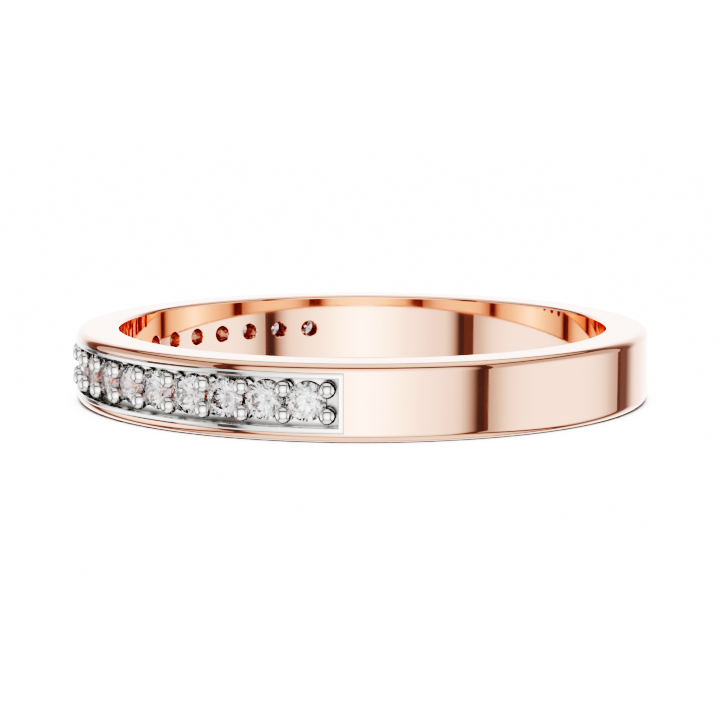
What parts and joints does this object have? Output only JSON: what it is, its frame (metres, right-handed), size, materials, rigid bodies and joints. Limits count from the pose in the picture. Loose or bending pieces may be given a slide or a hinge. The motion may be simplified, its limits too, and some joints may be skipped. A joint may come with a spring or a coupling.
{
  "type": "wedding band",
  "caption": "Polished rose gold half-eternity wedding band with a white gold channel setting, ball prongs and a row of round brilliant stones.",
  "frame": {"origin": "centre of the finger bore at mid-width", "axes": "+Z along the finger axis, across the band's width; the middle of the stone row faces -Y"},
  "size_m": [0.0204, 0.0204, 0.0026],
  "materials": {
    "rose_gold": "polished",
    "white_gold": "polished",
    "diamond": "gloss"
  },
  "bodies": {
    "root": {"shank": "rose_gold", "channel_setting": "white_gold", "diamond_01": "diamond", "diamond_02": "diamond", "diamond_03": "diamond", "diamond_04": "diamond", "diamond_05": "diamond", "diamond_06": "diamond", "diamond_07": "diamond", "diamond_08": "diamond", "diamond_09": "diamond", "diamond_10": "diamond", "diamond_11": "diamond", "diamond_12": "diamond", "diamond_13": "diamond", "diamond_14": "diamond", "diamond_15": "diamond", "diamond_16": "diamond", "diamond_17": "diamond", "diamond_18": "diamond", "diamond_19": "diamond", "diamond_20": "diamond"}
  },
  "joints": []
}
